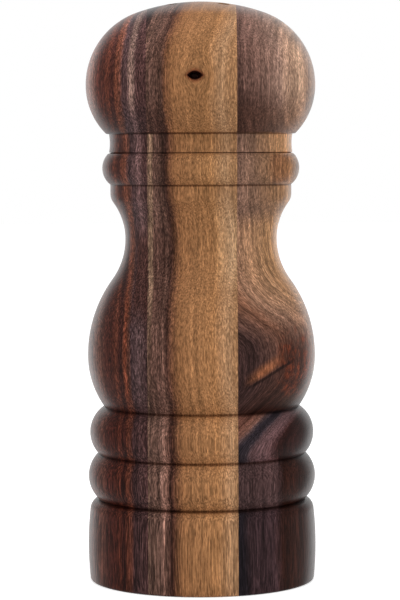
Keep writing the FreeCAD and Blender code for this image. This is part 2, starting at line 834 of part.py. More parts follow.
def build():
    """Every piece of the mill, by the name of its node."""
    body = turned_body()
    head = turned_head()
    return {
        "body_board_left": board(body, -reach, left_glue_x),
        "body_board_front": board(body, left_glue_x, right_glue_x, high_y=0),
        "body_board_back": board(body, left_glue_x, right_glue_x, low_y=0),
        "body_board_right": board(body, right_glue_x, reach),
        "grinder_ring": grinder_ring(),
        "bearing_bridge": bearing_bridge(),
        "shaft_bush": shaft_bush(),
        "cover_plate": cover_plate(),
        "plate_screws": plate_screws(),
        "drive_shaft": drive_shaft(),
        "thrust_washer": thrust_washer(),
        "burr_spring": burr_spring(),
        "male_burr": male_burr(),
        "burr_washer": burr_washer(),
        "adjuster_knob": adjuster_knob(),
        "adjuster_nut": adjuster_nut(),
        "head_board_left": board(head, -reach, left_glue_x),
        "head_board_centre": board(head, left_glue_x, right_glue_x),
        "head_board_right": board(head, right_glue_x, reach),
        "chamber_floor": chamber_floor(),
        "drive_plate": drive_plate(),
        "drive_plate_screws": drive_plate_screws(),
        "shaft_clip": shaft_clip(),
        "salt_stopper": salt_stopper(),
    }


os.makedirs("parts", exist_ok=True)
for node, shape in build().items():
    shape.exportStep(f"parts/{node}.step")
    print(node, "solids", len(shape.Solids), "valid", shape.isValid(), "volume", round(shape.Volume, 2))
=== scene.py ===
import math

import bmesh
import bpy
from mathutils import Matrix, Vector


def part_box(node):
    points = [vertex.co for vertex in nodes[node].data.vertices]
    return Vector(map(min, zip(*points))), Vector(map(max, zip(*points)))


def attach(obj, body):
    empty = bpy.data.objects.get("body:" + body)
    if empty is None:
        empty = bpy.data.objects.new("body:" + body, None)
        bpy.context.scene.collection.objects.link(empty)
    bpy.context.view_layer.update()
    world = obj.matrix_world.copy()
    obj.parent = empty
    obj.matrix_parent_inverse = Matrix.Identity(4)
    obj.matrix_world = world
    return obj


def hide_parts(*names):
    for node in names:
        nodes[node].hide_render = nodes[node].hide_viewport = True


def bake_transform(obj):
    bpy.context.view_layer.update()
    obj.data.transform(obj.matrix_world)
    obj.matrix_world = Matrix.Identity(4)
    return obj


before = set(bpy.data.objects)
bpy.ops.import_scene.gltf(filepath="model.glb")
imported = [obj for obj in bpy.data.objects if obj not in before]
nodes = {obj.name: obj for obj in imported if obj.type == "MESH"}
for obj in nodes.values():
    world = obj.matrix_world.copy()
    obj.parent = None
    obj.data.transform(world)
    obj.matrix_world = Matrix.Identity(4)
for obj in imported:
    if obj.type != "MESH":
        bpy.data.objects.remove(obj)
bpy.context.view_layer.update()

# Body boards: the mill is turned from a blank of three acacia boards glued side by side, dark on the left,
# pale in the middle and dark on the right. The pepper bore cuts the body's middle board in two. The sharp
# arrises were eased with sandpaper on the lathe, and the wood is oiled.
mm = 0.001
turning_steps = 192
arc_step = 0.8
weld_distance = 0.0005
saw_tolerance = 0.0001
sharp_arris = math.radians(34)
left_glue_x = -13.7
right_glue_x = 9.2
foot_inner = (29.1, 0.0)
foot_outer = (29.5, 0.4)
base_crown = (29.92, 6.6)
base_shoulder = (29.47, 18.6)
lower_groove = (27.1, 21.5)
lower_ring = (29.79, 26.7)
middle_groove = (27.2, 33.5)
upper_ring = (29.4, 39.0)
upper_groove = (25.6, 45.8)
belly = (29.85, 59.2)
belly_to_waist = (23.347, 79.12)
waist = (19.86, 89.8)
waist_to_neck = (22.99, 99.337)
neck = (23.7, 101.5)
bead_foot = (23.7, 103.95)
bead_crown = (25.78, 107.85)
bead_edge = (24.3, 112.0)
parting_face = (23.4, 112.27)
spigot_foot = (18.0, 112.27)
spigot_rim = (18.0, 118.0)
bore_rim = (15.0, 118.0)
bore_foot = (15.0, 26.6)
grinder_seat = (17.0, 26.6)
grinder_foot = (17.0, 9.0)
recess_roof = (22.5, 9.0)
recess_rim = (22.5, 0.0)
heel_ease = 0.2
rim_ease = 0.3


def at(point):
    """The place of an outline's point, given as radius and height in mm."""
    return Vector((point[0] * mm, 0, point[1] * mm))


def straight(outline, pen, end):
    """Draws a straight stretch of a lathe outline."""
    tip = outline.verts.new(at(end))
    outline.edges.new((pen, tip))
    return tip


def verts_of(geom):
    """The vertices among what a bmesh operator gives back."""
    return [v for v in geom if isinstance(v, bmesh.types.BMVert)]


def curve(outline, pen, centre, end):
    """Draws a round stretch of a lathe outline about a centre."""
    hub = at(centre)
    spoke = pen.co - hub
    goal = at(end) - hub
    turn = math.atan2(goal.x, goal.z) - math.atan2(spoke.x, spoke.z)
    turn = (turn + math.pi) % (2 * math.pi) - math.pi
    steps = max(5, math.ceil(abs(turn) * spoke.length / (arc_step * mm)))
    swung = bmesh.ops.spin(outline, geom=[pen], cent=hub, axis=(0, 1, 0), angle=turn, steps=steps)
    return verts_of(swung["geom_last"])[0]


def crown_centre(crown, end):
    """Centre of the arc that leaves a crown along the lathe's axis and runs to the end point."""
    inset = crown[0] - end[0]
    return crown[0] - (inset**2 + (end[1] - crown[1]) ** 2) / (2 * inset), crown[1]


def ring_centre(low, crown, high):
    """Centre of the arc through the two grooves beside a ring and the ring's crown."""
    a, b, c = (Vector(p) for p in (low, crown, high))
    u, v = b - a, c - a
    twice = 2 * (u.x * v.y - u.y * v.x)
    x = (v.y * u.length_squared - u.y * v.length_squared) / twice
    y = (u.x * v.length_squared - v.x * u.length_squared) / twice
    return a.x + x, a.y + y


def eased(outline, corners, width):
    """Rounds the corners of an outline, as sandpaper does."""
    bmesh.ops.bevel(outline, geom=corners, offset=width * mm, offset_type="OFFSET", affect="VERTICES",
                    segments=3, profile=0.5, material=-1, clamp_overlap=True)


def turned(outline):
    """Turns an outline about the lathe's axis into a closed solid."""
    bmesh.ops.spin(outline, geom=outline.verts[:] + outline.edges[:], cent=(0, 0, 0), axis=(0, 0, 1),
                   angle=2 * math.pi, steps=turning_steps, use_merge=True)
    bmesh.ops.remove_doubles(outline, verts=outline.verts[:], dist=weld_distance * mm)
    bmesh.ops.recalc_face_normals(outline, faces=outline.faces[:])
    return outline


def sawn(solid, planes):
    """The share of a turned solid from one board: each plane is a place and an outward direction."""
    share = solid.copy()
    for place, outward in planes:
        bmesh.ops.bisect_plane(share, geom=share.verts[:] + share.edges[:] + share.faces[:],
                               dist=saw_tolerance * mm, plane_co=place, plane_no=outward, clear_outer=True)
        bmesh.ops.holes_fill(share, edges=[e for e in share.edges if e.is_boundary], sides=0)
    bmesh.ops.recalc_face_normals(share, faces=share.faces[:])
    return share


def finished(name, shape, finish):
    """A named piece from a bmesh, smooth but for its sharp arrises, with its material."""
    for face in shape.faces:
        face.smooth = True
    for edge in shape.edges:
        edge.smooth = len(edge.link_faces) == 2 and edge.calc_face_angle(0.0) < sharp_arris
    mesh = bpy.data.meshes.new(name)
    shape.to_mesh(mesh)
    shape.free()
    piece = bpy.data.objects.new(name, mesh)
    bpy.context.scene.collection.objects.link(piece)
    mesh.materials.append(finish)
    return piece


def node(tree, kind, inputs=None, **settings):
    """One shader node. Each input is a value or another node's output."""
    made = tree.nodes.new("ShaderNode" + kind)
    for name, value in settings.items():
        setattr(made, name, value)
    for name, value in (inputs or {}).items():
        if isinstance(value, bpy.types.NodeSocket):
            tree.links.new(value, made.inputs[name])
        else:
            made.inputs[name].default_value = value
    return made


def calc(tree, operation, first, second=0.0, third=0.0):
    """One sum worked out from up to three values."""
    return node(tree, "Math", {0: first, 1: second, 2: third}, operation=operation).outputs[0]


def both(tree, *masks):
    """The product of several masks or values, full only where all of them are."""
    shared = masks[0]
    for mask in masks[1:]:
        shared = calc(tree, "MULTIPLY", shared, mask)
    return shared


def either(tree, *masks):
    """A mask that is full where any of the given ones is."""
    widest = masks[0]
    for mask in masks[1:]:
        widest = calc(tree, "MAXIMUM", widest, mask)
    return widest


def fade(tree, value, low, high, start=0.0, end=1.0):
    """A soft step from start to end as the value goes from low to high."""
    ends = {"From Min": low, "From Max": high, "To Min": start, "To Max": end}
    return node(tree, "MapRange", {"Value": value, **ends}, interpolation_type="SMOOTHSTEP").outputs[0]


def band(tree, value, rise, fall, peak=1.0, rest=0.0):
    """A mask that comes up over one stretch of the value and goes from its peak to its rest over another."""
    return both(tree, fade(tree, value, *rise), fade(tree, value, *fall, peak, rest))


def soft_line(tree, value, middle, core, reach, peak=1.0, rest=0.0):
    """A mask at its peak as near the middle value as the core, and at its rest beyond the reach."""
    away = calc(tree, "ABSOLUTE", calc(tree, "SUBTRACT", value, middle))
    return fade(tree, away, core, reach, peak, rest)


def axes_of(tree, place):
    """The distances of a place across, in depth and in height."""
    return node(tree, "SeparateXYZ", {0: place}).outputs


def flattened(tree, place):
    """A place brought down to the floor."""
    return node(tree, "VectorMath", {0: place, 1: (1.0, 1.0, 0.0)}, operation="MULTIPLY").outputs[0]


def from_axis(tree, place):
    """The distance of a place from the lathe's axis."""
    return node(tree, "VectorMath", {0: flattened(tree, place)}, operation="LENGTH").outputs["Value"]


def stretched(tree, place, scale):
    """A place scaled along each axis."""
    return node(tree, "Mapping", {"Vector": place, "Scale": scale}).outputs[0]


def clouds(tree, place, scale, detail, roughness=0.5):
    """Soft random clouds, so many to each unit of the place."""
    settings = {"Scale": scale, "Detail": detail, "Roughness": roughness}
    return node(tree, "TexNoise", {"Vector": place, **settings}).outputs["Fac"]


def figure(tree, place, scale, detail, roughness=0.5):
    """Clouds drawn out along the fibres, by a scale for each axis."""
    return clouds(tree, stretched(tree, place, scale), 1.0, detail, roughness)


def over(tree, mask, under, top, blend_type="MIX"):
    """One colour laid over another through a mask."""
    colours = {0: mask, 6: under, 7: top}
    return node(tree, "Mix", colours, data_type="RGBA", blend_type=blend_type).outputs[2]


def tinted(tree, mask, tone, tint):
    """A tone made lighter or darker through a mask, by a factor each for red, green and blue."""
    return over(tree, mask, tone, over(tree, 1.0, tone, (*tint, 1.0), "MULTIPLY"))


def stain(red, green, blue):
    """A tone given as 0 to 255 on a colour chart, in the shader's linear light."""
    shares = [c / 255 for c in (red, green, blue)]
    return (*[s / 12.92 if s < 0.04 else ((s + 0.055) / 1.055) ** 2.4 for s in shares], 1.0)


def toned(tree, growth, tones):
    """Colour bands across the growth of the wood: each is a distance in mm and a stain's three values."""
    low, high = tones[0][0], tones[-1][0]
    share = node(tree, "MapRange", {"Value": growth, "From Min": low, "From Max": high}).outputs[0]
    ramp = node(tree, "ValToRGB", {"Fac": share})
    bands = ramp.color_ramp.elements
    for distance, *tone in tones[1:-1]:
        bands.new((distance - low) / (high - low)).color = stain(*tone)
    bands[0].color = stain(*tones[0][1:])
    bands[-1].color = stain(*tones[-1][1:])
    return ramp.outputs["Color"]


def effect(name, inputs, outputs):
    """An empty shader group with named inputs and outputs."""
    tree = bpy.data.node_groups.new(name, "ShaderNodeTree")
    for label, kind in inputs:
        tree.interface.new_socket(label, in_out="INPUT", socket_type="NodeSocket" + kind)
    for label, kind in outputs:
        tree.interface.new_socket(label, in_out="OUTPUT", socket_type="NodeSocket" + kind)
    return tree, tree.nodes.new("NodeGroupInput").outputs, tree.nodes.new("NodeGroupOutput").inputs


def placed(tree, group, inputs):
    """The outputs of a shader group, placed with its own values."""
    return node(tree, "Group", inputs, node_tree=group).outputs


# The growth rings of a plank never run quite straight: they sway along its length, with frayed edges.
ring_sway, given, result = effect("ring_sway", [("Place", "Vector")], [("Sway", "Float"), ("Fray", "Float")])
tree = ring_sway
slow = figure(tree, given["Place"], (0.03, 0.03, 0.014), detail=1.0)
quick = figure(tree, given["Place"], (0.14, 0.14, 0.06), detail=2.0)
frayed = figure(tree, given["Place"], (1.0, 1.0, 0.10), detail=4.0, roughness=0.7)
sway = calc(tree, "MULTIPLY_ADD", slow, 2.0, calc(tree, "MULTIPLY_ADD", quick, 1.4, -1.7))
tree.links.new(sway, result["Sway"])
tree.links.new(calc(tree, "MULTIPLY_ADD", frayed, 3.2, -1.6), result["Fray"])

# Growth lines, flecks, fibres and open pores, which every board shows in its own tone. They run along the
# rings, so their place is the distance across the rings, the depth and the height. The fibres show most in
# the base.
oiled_grain, given, result = effect(
    "oiled_grain",
    [("Tone", "Color"), ("Flow", "Vector"), ("Streaks", "Float"), ("Flecks", "Float"), ("Pores", "Float")],
    [("Color", "Color"), ("Roughness", "Float"), ("Height", "Float")],
)
tree = oiled_grain
broad_streak = figure(tree, given["Flow"], (0.45, 0.03, 0.012), detail=2.0, roughness=0.6)
fine_streak = figure(tree, given["Flow"], (1.6, 0.2, 0.04), detail=4.0, roughness=0.75)
fleck = figure(tree, given["Flow"], (3.2, 3.2, 0.75), detail=3.0, roughness=0.7)
fibre = figure(tree, given["Flow"], (3.0, 3.0, 0.10), detail=2.0, roughness=0.6)
pore_place = stretched(tree, given["Flow"], (2.3, 2.3, 0.36))
pore_distance = node(tree, "TexVoronoi", {"Vector": pore_place, "Scale": 1.0}).outputs["Distance"]
pores = fade(tree, pore_distance, 0.20, 0.40, 1.0, 0.0)
streak = calc(tree, "MULTIPLY_ADD", broad_streak, 2.2, calc(tree, "MULTIPLY_ADD", fine_streak, 3.0, -2.6))
streak = calc(tree, "MULTIPLY", streak, given["Streaks"])
fibre_share = fade(tree, axes_of(tree, given["Flow"])[2], 22.0, 60.0, 0.7, 0.25)
short_sharp = fade(tree, fleck, 0.33, 0.67, -0.5, 0.5)
long_sharp = fade(tree, fibre, 0.36, 0.64, -0.5, 0.5)
longer = calc(tree, "SUBTRACT", long_sharp, short_sharp)
sharp = calc(tree, "MULTIPLY_ADD", longer, fibre_share, short_sharp)
speckle = calc(tree, "MULTIPLY", sharp, given["Flecks"])
lightness = calc(tree, "EXPONENT", calc(tree, "ADD", streak, speckle))
shaded = node(tree, "VectorMath", {0: given["Tone"], "Scale": lightness}, operation="SCALE").outputs[0]
pore_mask = calc(tree, "MULTIPLY", pores, given["Pores"])
tree.links.new(tinted(tree, pore_mask, shaded, (0.36, 0.30, 0.28)), result["Color"])
rough = calc(tree, "MULTIPLY_ADD", pores, 0.10, calc(tree, "MULTIPLY_ADD", fleck, 0.2, 0.3))
tree.links.new(rough, result["Roughness"])
tree.links.new(calc(tree, "SUBTRACT", calc(tree, "MULTIPLY", fleck, 0.6), pores), result["Height"])

# A thin dark line is painted along the turned grooves and the bead and collar creases: painted shade.
wide_line = 0.6
thin_line = 0.4
collar_line_level = 117.2
groove_shade, given, result = effect("groove_shade", [("Place", "Vector")], [("Mask", "Float")])
tree = groove_shade
height = axes_of(tree, given["Place"])[2]
lines = [
    soft_line(tree, height, level, 0.1, width)
    for level, width in (
        (lower_groove[1], wide_line), (middle_groove[1], wide_line), (upper_groove[1], wide_line),
        (bead_foot[1], thin_line), (collar_line_level, thin_line),
    )
]
outside = fade(tree, from_axis(tree, given["Place"]), 19.0, 22.0)
tree.links.new(both(tree, either(tree, *lines), outside), result["Mask"])


def bare(name):
    """A new material, with its tree and its shader."""
    finish = bpy.data.materials.new(name)
    finish.use_nodes = True
    return finish, finish.node_tree, finish.node_tree.nodes["Principled BSDF"]


def place_in_mm(tree):
    """The place on the piece, in mm."""
    return stretched(tree, node(tree, "TexCoord").outputs["Object"], (1000.0, 1000.0, 1000.0))


def bumped(tree, shader, height, strength, depth):
    """Joins a fine relief to the shader, its depth in mm."""
    bump = node(tree, "Bump", {"Height": height, "Strength": strength, "Distance": depth * mm})
    tree.links.new(bump.outputs[0], shader.inputs["Normal"])


def wood(name):
    """A new wood material: its tree, its shader, the place on the piece in mm, and the sway and fray of its
    rings. Oil leaves little gloss seen straight on, and a pale sheen seen along the surface. Hands rub the
    head and the belly brightest, and leave the base and the undersides of the turnings duller."""
    finish, tree, shader = bare(name)
    shader.inputs["Specular IOR Level"].default_value = 0.04
    shader.inputs["Coat Roughness"].default_value = 0.24
    place = place_in_mm(tree)
    facing = node(tree, "LayerWeight", {"Blend": 0.5}).outputs["Facing"]
    sheen = fade(tree, facing, 0.54, 0.78, 0.0, 0.6)
    rubbed_high = fade(tree, axes_of(tree, place)[2], 30.0, 60.0, 0.7, 1.0)
    outward = node(tree, "NewGeometry").outputs["Normal"]
    rubbed_above = fade(tree, axes_of(tree, outward)[2], -0.7, -0.1, 0.35, 1.0)
    tree.links.new(both(tree, rubbed_high, rubbed_above, sheen), shader.inputs["Coat Weight"])
    rings = placed(tree, ring_sway, {"Place": place})
    return finish, tree, shader, place, rings["Sway"], rings["Fray"]


def oiled(tree, shader, place, growth, tone, streaks, flecks, pores):
    """Lays the grain and the painted shade in the grooves over a tone and joins them to the shader."""
    axes = axes_of(tree, place)
    flow = node(tree, "CombineXYZ", {0: growth, 1: axes[1], 2: axes[2]}).outputs[0]
    amounts = {"Streaks": streaks, "Flecks": flecks, "Pores": pores}
    grain = placed(tree, oiled_grain, {"Tone": tone, "Flow": flow, **amounts})
    groove_shade_mask = placed(tree, groove_shade, {"Place": place})["Mask"]
    # Painted shade darkens the grain's colour in the grooves and creases.
    tree.links.new(tinted(tree, groove_shade_mask, grain["Color"], (0.42, 0.36, 0.33)), shader.inputs["Base Color"])
    tree.links.new(grain["Roughness"], shader.inputs["Roughness"])
    bumped(tree, shader, grain["Height"], strength=0.35, depth=0.05)


# Left board's tones: dark heartwood with a red ring through the belly. It is darkest in the base. The head
# is lighter and greyer, partly paler wood and partly painted sheen, and a pinkish ring shows there by the
# glue line.
heartwood_left, tree, shader, place, sway, fray = wood("heartwood_left")
across, depth, height = axes_of(tree, place)
lean = calc(tree, "MULTIPLY_ADD", depth, -0.2, -5.8)
drift = fade(tree, height, 20.0, 115.0, -0.6, 2.0)
growth = calc(tree, "ADD", calc(tree, "ADD", across, lean), calc(tree, "ADD", sway, drift))
edge = calc(tree, "MULTIPLY_ADD", fray, 0.6, growth)
tone = toned(tree, edge, [
    (-60.0, 66, 44, 38), (-50.0, 46, 28, 24), (-43.0, 74, 45, 36), (-36.0, 96, 66, 57), (-29.5, 94, 62, 52),
    (-27.0, 66, 33, 26), (-24.6, 62, 31, 24), (-23.4, 82, 44, 33), (-22.3, 50, 26, 22), (-21.5, 58, 32, 27),
    (-20.7, 98, 57, 43), (-19.6, 92, 57, 46), (-18.7, 64, 47, 48), (-16.2, 86, 65, 64), (-14.4, 60, 41, 40),
    (4.0, 54, 35, 31),
])
red_ring = soft_line(tree, edge, -20.5, 0.2, 0.8, 0.9)
red_reach = band(tree, height, (46.0, 52.0), (66.0, 88.0))
tone = over(tree, both(tree, red_ring, red_reach), tone, stain(114, 60, 43))
waist_band = band(tree, height, (66.0, 75.0), (88.0, 96.0), 0.8)
tone = over(tree, both(tree, waist_band, fade(tree, edge, -19.2, -18.2)), tone, stain(62, 36, 30))
foot_shade = fade(tree, height, 43.0, 55.0, 0.85, 0.0)
tone = tinted(tree, foot_shade, tone, (0.70, 0.56, 0.54))
# Lighter and greyer from the waist up, most in the head: partly paler wood, partly painted sheen.
head_light = fade(tree, height, 120.0, 127.0)
neck_light = band(tree, height, (76.0, 102.0, 0.0, 0.75), (116.9, 117.3), rest=0.3)
tone = tinted(tree, either(tree, neck_light, head_light), tone, (1.5, 1.4, 1.35))
pink_ring = soft_line(tree, edge, -16.3, 0.4, 1.3, 0.75)
tone = over(tree, both(tree, pink_ring, head_light), tone, stain(130, 103, 92))
# Painted sheen on the crown of the dome and along its outer edge.
crown_sheen = both(tree, fade(tree, height, 133.0, 142.0), fade(tree, edge, -19.0, -16.5, 1.0, 0.35))
cheek_light = both(tree, head_light, fade(tree, edge, -27.0, -25.0, 1.0, 0.0))
tone = tinted(tree, either(tree, crown_sheen, cheek_light), tone, (1.35, 1.4, 1.45))
oiled(tree, shader, place, growth, tone, streaks=0.7, flecks=2.4, pores=0.5)

# Middle board's tones: brown heartwood with a tan ring at its left edge runs through a dark line into golden
# sapwood. The knot on the front of the dome is nearly black, with a reddish rim, and the grain parts round
# it. The walls of the pouring holes are painted dark, as painted shade inside the holes.
knot_place = (-1.4, 131.6)
knot_size = (4.2, 2.4)
pour_radius = 1.4
pour_circle = 9.6
pour_angles = (-141.0, -51.0, 39.0, 129.0)
hole_shade_width = 0.3


def waning(tree, value):
    """A share that falls from one as the value grows."""
    return calc(tree, "EXPONENT", calc(tree, "MULTIPLY", value, -1.0))


sapwood_centre, tree, shader, place, sway, fray = wood("sapwood_centre")
across, depth, height = axes_of(tree, place)
lean = calc(tree, "MULTIPLY_ADD", depth, -0.2, -5.8)
drift = fade(tree, height, 20.0, 115.0, -0.6, 2.0)
drift = calc(tree, "ADD", drift, fade(tree, height, 138.0, 146.0, 0.0, -1.6))
growth = calc(tree, "ADD", calc(tree, "ADD", across, lean), calc(tree, "MULTIPLY_ADD", sway, 0.35, drift))
knot_across = calc(tree, "DIVIDE", calc(tree, "SUBTRACT", across, knot_place[0]), knot_size[0] / 2)
knot_up = calc(tree, "DIVIDE", calc(tree, "SUBTRACT", height, knot_place[1]), knot_size[1] / 2)
across_square = calc(tree, "MULTIPLY", knot_across, knot_across)
in_front = fade(tree, depth, -24.0, -20.0, 1.0, 0.0)
from_knot = calc(tree, "MULTIPLY_ADD", knot_up, calc(tree, "MULTIPLY", knot_up, 0.12),
                 calc(tree, "MULTIPLY", across_square, 0.4))
parting = both(tree, waning(tree, from_knot), in_front, knot_across)
growth = calc(tree, "MULTIPLY_ADD", parting, -2.2, growth)
edge = calc(tree, "MULTIPLY_ADD", fray, 0.7, growth)
tone = toned(tree, edge, [
    (-27.0, 58, 40, 38), (-19.0, 62, 42, 39), (-14.8, 66, 46, 43), (-13.4, 98, 72, 62), (-11.0, 104, 76, 66),
    (-9.3, 94, 66, 56), (-8.5, 68, 44, 37), (-7.7, 90, 58, 44), (-6.8, 118, 78, 54), (-5.2, 148, 102, 67),
    (-2.0, 158, 111, 73), (3.6, 161, 114, 74), (5.6, 170, 126, 89), (7.2, 178, 136, 100),
    (9.2, 168, 124, 87), (16.0, 158, 113, 76),
])
waist_dark = band(tree, height, (66.0, 76.0), (90.0, 99.0))
waist_dark = both(tree, waist_dark, fade(tree, edge, -10.2, -9.2, 0.8, 0.0))
# Painted shade at the foot of the dome, under its overhang, at the board's left edge.
dome_foot_shade = band(tree, height, (117.1, 117.4), (120.0, 128.0))
dome_foot_shade = both(tree, dome_foot_shade, fade(tree, edge, -9.5, -8.5, 1.0, 0.0))
foot_line = soft_line(tree, edge, -8.4, 0.4, 1.4, 0.8)
foot_line = both(tree, foot_line, fade(tree, height, 44.0, 50.0, 1.0, 0.0))
# Darker wood at the waist and down the base, with the painted shade at the dome's foot.
tone = tinted(tree, either(tree, waist_dark, dome_foot_shade, foot_line), tone, (0.6, 0.54, 0.54))
belly_shade = band(tree, height, (45.0, 47.0), (60.0, 78.0), 0.85, 0.3)
belly_shade = both(tree, belly_shade, fade(tree, edge, -10.6, -9.6, 1.0, 0.0))
tone = tinted(tree, belly_shade, tone, (0.58, 0.54, 0.54))
upright = calc(tree, "MULTIPLY_ADD", fray, 0.4, calc(tree, "MULTIPLY_ADD", sway, 0.3, across))
upright = calc(tree, "ADD", upright, fade(tree, height, 58.0, 80.0, 0.85, 0.0))
tan_ring = soft_line(tree, upright, -13.0, 0.3, 0.9, 0.9)
tan_reach = band(tree, height, (66.0, 82.0, 0.4, 1.0), (116.8, 117.4))
tone = over(tree, both(tree, tan_ring, tan_reach), tone, stain(126, 99, 80))
waist_light = band(tree, height, (76.0, 84.0), (94.0, 104.0))
waist_light = both(tree, waist_light, fade(tree, edge, 2.0, 5.0))
tone = tinted(tree, waist_light, tone, (1.28, 1.4, 1.5))
# Painted highlight: the upper half of the bead is made lighter over the golden sapwood.
bead_highlight = band(tree, height, (103.0, 107.0), (111.0, 112.0))
bead_highlight = both(tree, bead_highlight, fade(tree, edge, -3.0, 3.0))
tone = tinted(tree, bead_highlight, tone, (1.22, 1.25, 1.25))
pale_line = soft_line(tree, edge, -8.5, 0.4, 1.3, 0.6)
pale_reach = band(tree, height, (118.0, 127.0), (137.0, 143.0))
tone = over(tree, both(tree, pale_line, pale_reach), tone, stain(108, 78, 66))
eye = calc(tree, "ADD", calc(tree, "ABSOLUTE", knot_up), across_square)
rim = both(tree, fade(tree, eye, 0.9, 2.1, 0.85, 0.0), in_front)
tone = over(tree, rim, tone, stain(104, 52, 30))
pit = both(tree, fade(tree, eye, 0.85, 1.1, 1.0, 0.0), in_front)
tone = over(tree, pit, tone, stain(52, 22, 14))
# Painted shade: the walls of the pouring holes and a thin ring round each are darkened near the top of the
# dome.
near_top = fade(tree, height, 140.0, 145.0)
flat_place = flattened(tree, place)
for angle in pour_angles:
    hole = (pour_circle * math.cos(math.radians(angle)), pour_circle * math.sin(math.radians(angle)), 0.0)
    away = node(tree, "VectorMath", {0: flat_place, 1: hole}, operation="DISTANCE").outputs["Value"]
    hole_shade = fade(tree, away, pour_radius, pour_radius + hole_shade_width, 0.9, 0.0)
    tone = over(tree, both(tree, hole_shade, near_top), tone, stain(38, 22, 16))
streaks = fade(tree, growth, -9.0, -5.0, 1.1, 0.5)
flecks = fade(tree, growth, -9.0, -5.0, 1.9, 1.05)
oiled(tree, shader, place, growth, tone, streaks, flecks, pores=0.5)

# Right board's tones: the wood grew round a branch at the height of the belly, so its rings swing outwards
# there, with an orange patch and a dark crack under the eye. The base is nearly black, and the dome is a
# pinkish brown.
heartwood_right, tree, shader, place, sway, fray = wood("heartwood_right")
across, depth, height = axes_of(tree, place)
tilt = calc(tree, "MULTIPLY_ADD", across, -0.3, 5.4)
above_eye = calc(tree, "ADD", calc(tree, "ADD", height, -62.0), tilt)
up = calc(tree, "DIVIDE", calc(tree, "MAXIMUM", above_eye, 0.0), 14.0)
up_swing = calc(tree, "SUBTRACT", 1.0, waning(tree, calc(tree, "MULTIPLY", up, up)))
down_swing = fade(tree, above_eye, -25.5, -5.5, 1.0, 0.0)
lean = calc(tree, "MULTIPLY_ADD", depth, -0.1, -2.5)
growth = calc(tree, "ADD", calc(tree, "ADD", across, lean), sway)
growth = calc(tree, "MULTIPLY_ADD", up_swing, 16.0, calc(tree, "MULTIPLY_ADD", down_swing, 22.0, growth))
edge = calc(tree, "ADD", growth, fray)

low_tone = toned(tree, edge, [
    (0.0, 58, 38, 36), (13.0, 62, 42, 39), (18.0, 60, 38, 33), (23.0, 62, 38, 32), (26.6, 72, 48, 42),
    (28.4, 46, 35, 36), (30.2, 31, 26, 31), (33.2, 33, 27, 31), (35.0, 56, 40, 42), (40.5, 60, 42, 44),
    (42.8, 50, 25, 18), (46.5, 42, 20, 14), (50.0, 52, 34, 30), (60.0, 50, 33, 29),
])
lower_light = band(tree, height, (20.8, 22.0), (33.0, 34.0))
lower_light = both(tree, lower_light, fade(tree, edge, 40.5, 42.8, 0.7, 0.0))
low_tone = over(tree, lower_light, low_tone, stain(82, 60, 58))
upper_part = band(tree, height, (33.0, 34.0), (45.0, 46.4))
upper_dark = both(tree, upper_part, fade(tree, edge, 37.6, 43.0))
low_tone = over(tree, upper_dark, low_tone, stain(42, 20, 17))
dark_streak = soft_line(tree, edge, 31.4, 0.8, 2.3, 0.4, 1.0)
upper_light = both(tree, upper_part, dark_streak, fade(tree, edge, 37.6, 43.0, 1.0, 0.0))
low_tone = tinted(tree, upper_light, low_tone, (3.0, 3.0, 2.8))
under_belly = band(tree, height, (45.6, 46.4), (50.0, 57.0))
under_belly = both(tree, under_belly, fade(tree, edge, 19.0, 24.0))
low_tone = over(tree, under_belly, low_tone, stain(44, 21, 15))

high_tone = toned(tree, edge, [
    (0.0, 62, 42, 40), (14.0, 66, 46, 43), (17.0, 86, 60, 53), (20.5, 106, 72, 59), (24.0, 126, 95, 82),
    (29.0, 142, 108, 88), (33.0, 166, 124, 92), (37.0, 174, 128, 88), (42.0, 116, 78, 57),
    (60.0, 72, 50, 44),
])
waist_band = band(tree, height, (58.0, 84.0), (92.0, 98.0))
high_tone = tinted(tree, waist_band, high_tone, (1.6, 1.55, 1.25))
bead_shade = band(tree, height, (103.6, 105.0), (111.6, 112.0))
bead_shade = both(tree, bead_shade, band(tree, edge, (32.0, 34.0), (36.5, 38.5)))
high_tone = tinted(tree, bead_shade, high_tone, (0.72, 0.62, 0.58))
collar_light = both(tree, fade(tree, height, 112.1, 112.4), fade(tree, edge, 28.0, 34.0))
high_tone = tinted(tree, collar_light, high_tone, (1.5, 1.5, 1.45))

crown_rise = calc(tree, "MAXIMUM", calc(tree, "ADD", height, -133.0), 0.0)
crown_rise = calc(tree, "DIVIDE", crown_rise, 13.0)
head_edge = calc(tree, "MULTIPLY_ADD", calc(tree, "MULTIPLY", crown_rise, crown_rise), 3.6, edge)
head_tone = toned(tree, head_edge, [
    (0.0, 70, 50, 46), (25.5, 88, 63, 57), (29.5, 108, 80, 72), (33.0, 122, 94, 84), (36.0, 138, 110, 98),
    (38.2, 176, 141, 120), (40.0, 194, 158, 134), (42.2, 158, 125, 106), (44.6, 116, 88, 74),
    (60.0, 78, 56, 50),
])
swayed_height = calc(tree, "ADD", height, calc(tree, "MULTIPLY", sway, 3.0))
head_shade = fade(tree, swayed_height, 120.0, 130.0, 0.8, 0.0)
head_tone = tinted(tree, head_shade, head_tone, (0.62, 0.5, 0.4))
cheek_light = band(tree, swayed_height, (123.0, 130.0), (136.0, 143.0), rest=0.6)
head_tone = tinted(tree, cheek_light, head_tone, (1.3, 1.28, 1.22))
crown_shade = both(tree, fade(tree, height, 136.0, 142.0), fade(tree, head_edge, 35.0, 38.5))
head_tone = tinted(tree, crown_shade, head_tone, (0.7, 0.7, 0.72))
tone = over(tree, fade(tree, swayed_height, 46.0, 66.0), low_tone, high_tone)
tone = over(tree, fade(tree, height, 117.1, 117.6), tone, head_tone)

